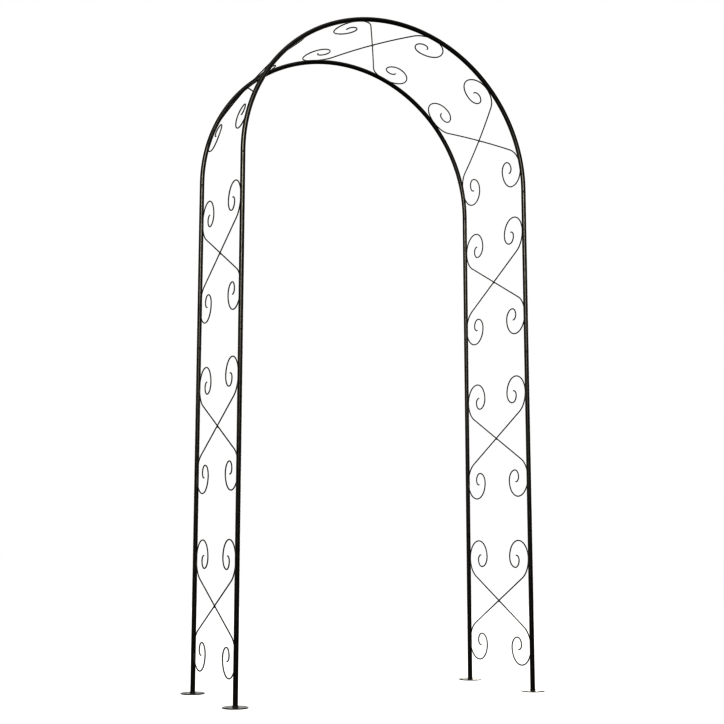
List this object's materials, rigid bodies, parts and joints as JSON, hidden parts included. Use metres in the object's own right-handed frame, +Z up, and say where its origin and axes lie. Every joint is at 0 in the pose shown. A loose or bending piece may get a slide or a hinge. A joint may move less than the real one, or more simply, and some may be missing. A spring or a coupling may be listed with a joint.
{
  "type": "trellis arch",
  "caption": "Free-standing metal garden arch of round tube hoops joined by crossed scroll wires, on round foot plates.",
  "frame": {"origin": "on the ground under the centre of the walkway", "axes": "+X across the walkway to the right leg, +Y from the front hoop to the rear hoop, +Z up"},
  "size_m": [1.204, 0.524, 2.409],
  "materials": {
    "tube_coat": "satin black powder coat",
    "wire_coat": "satin black powder coat",
    "weld_coat": "black powder coat over weld beads",
    "plate_coat": "semi-gloss black powder coat"
  },
  "bodies": {
    "root": {"left_lower_front_tube": "tube_coat", "left_lower_rear_tube": "tube_coat", "left_middle_front_tube": "tube_coat", "left_middle_rear_tube": "tube_coat", "left_upper_front_tube": "tube_coat", "left_upper_rear_tube": "tube_coat", "right_lower_front_tube": "tube_coat", "right_lower_rear_tube": "tube_coat", "right_middle_front_tube": "tube_coat", "right_middle_rear_tube": "tube_coat", "right_upper_front_tube": "tube_coat", "right_upper_rear_tube": "tube_coat", "arch_right_front_tube": "tube_coat", "arch_right_rear_tube": "tube_coat", "arch_top_front_tube": "tube_coat", "arch_top_rear_tube": "tube_coat", "arch_left_front_tube": "tube_coat", "arch_left_rear_tube": "tube_coat", "left_lower_outer_scroll": "wire_coat", "left_lower_inner_scroll": "wire_coat", "left_middle_outer_scroll": "wire_coat", "left_middle_inner_scroll": "wire_coat", "left_upper_outer_scroll": "wire_coat", "left_upper_inner_scroll": "wire_coat", "right_lower_outer_scroll": "wire_coat", "right_lower_inner_scroll": "wire_coat", "right_middle_outer_scroll": "wire_coat", "right_middle_inner_scroll": "wire_coat", "right_upper_outer_scroll": "wire_coat", "right_upper_inner_scroll": "wire_coat", "arch_right_outer_scroll": "wire_coat", "arch_right_inner_scroll": "wire_coat", "arch_top_outer_scroll": "wire_coat", "arch_top_inner_scroll": "wire_coat", "arch_left_outer_scroll": "wire_coat", "arch_left_inner_scroll": "wire_coat", "left_lower_welds": "weld_coat", "left_middle_welds": "weld_coat", "left_upper_welds": "weld_coat", "right_lower_welds": "weld_coat", "right_middle_welds": "weld_coat", "right_upper_welds": "weld_coat", "arch_right_welds": "weld_coat", "arch_top_welds": "weld_coat", "arch_left_welds": "weld_coat", "left_front_foot_plate": "plate_coat", "left_rear_foot_plate": "plate_coat", "right_front_foot_plate": "plate_coat", "right_rear_foot_plate": "plate_coat", "left_front_foot_weld": "weld_coat", "left_rear_foot_weld": "weld_coat", "right_front_foot_weld": "weld_coat", "right_rear_foot_weld": "weld_coat"}
  },
  "joints": []
}
